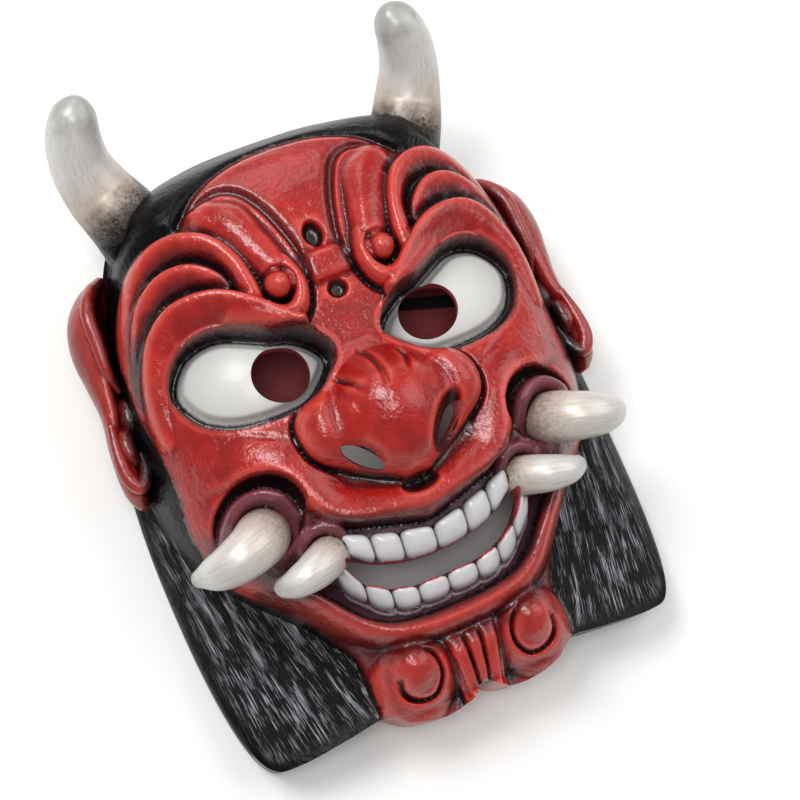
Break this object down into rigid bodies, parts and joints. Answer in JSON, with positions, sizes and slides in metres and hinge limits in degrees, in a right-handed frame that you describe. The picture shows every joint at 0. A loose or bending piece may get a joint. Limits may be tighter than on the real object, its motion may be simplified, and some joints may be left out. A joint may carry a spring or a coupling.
{
  "type": "hannya mask",
  "caption": "Horned red demon costume mask in painted latex with tusks, bulging open eyes, grinning teeth, chin curls and black moulded hair, lying face up.",
  "frame": {"origin": "under the middle of the whole mask, on the surface that its rim lies on", "axes": "+Z out of the face, +Y towards the horns, +X towards the right of whoever looks at the face"},
  "size_m": [0.22, 0.2975, 0.1104],
  "materials": {
    "painted_latex": "glossy hand-painted latex, red with black washes in the creases",
    "elastic_band": "woven black elastic"
  },
  "bodies": {
    "root": {"mask": "painted_latex", "elastic_strap": "elastic_band"}
  },
  "joints": []
}
